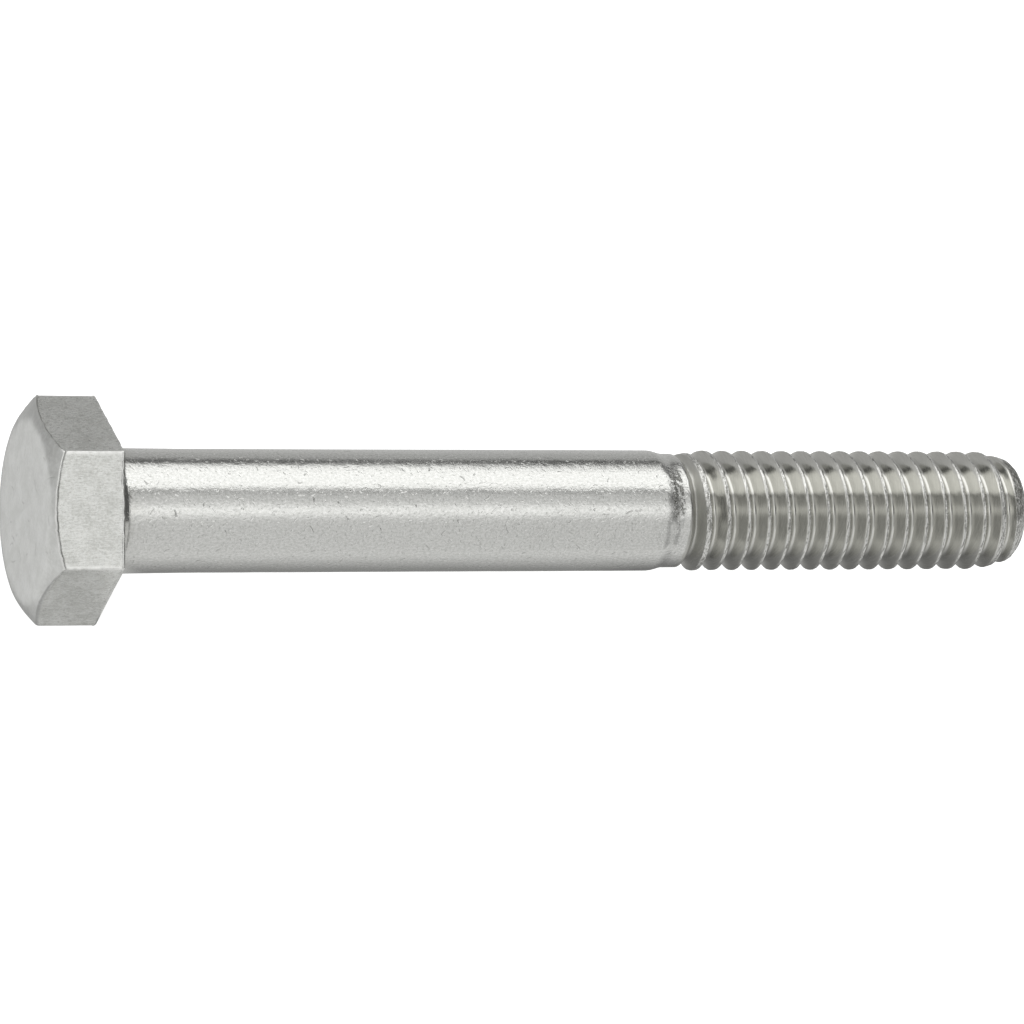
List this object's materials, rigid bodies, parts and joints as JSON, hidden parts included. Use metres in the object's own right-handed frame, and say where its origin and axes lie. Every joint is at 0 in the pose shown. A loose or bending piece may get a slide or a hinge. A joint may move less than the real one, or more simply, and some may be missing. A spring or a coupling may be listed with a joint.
{
  "type": "hex bolt",
  "caption": "Stainless hex-head bolt with a chamfered crown, a plain shank, and a rolled right-hand thread that ends in a tapered point.",
  "frame": {"origin": "centre of the head's crown face, on the bolt's axis", "axes": "+X along the axis from the head to the tip; +Z and -Z square to two opposite wrench flats; +Y and -Y through two opposite corners of the head"},
  "size_m": [0.0683, 0.0144, 0.0126],
  "materials": {
    "head_steel": "matte forged crown, lightly brushed flats with bright worn edges",
    "shank_steel": "bright drawn surface with fine nicks and scratches",
    "thread_steel": "smooth rolled surface, slightly darker and warmer, with bright crests"
  },
  "bodies": {
    "root": {"hex_head": "head_steel", "shank": "shank_steel", "thread": "thread_steel"}
  },
  "joints": []
}
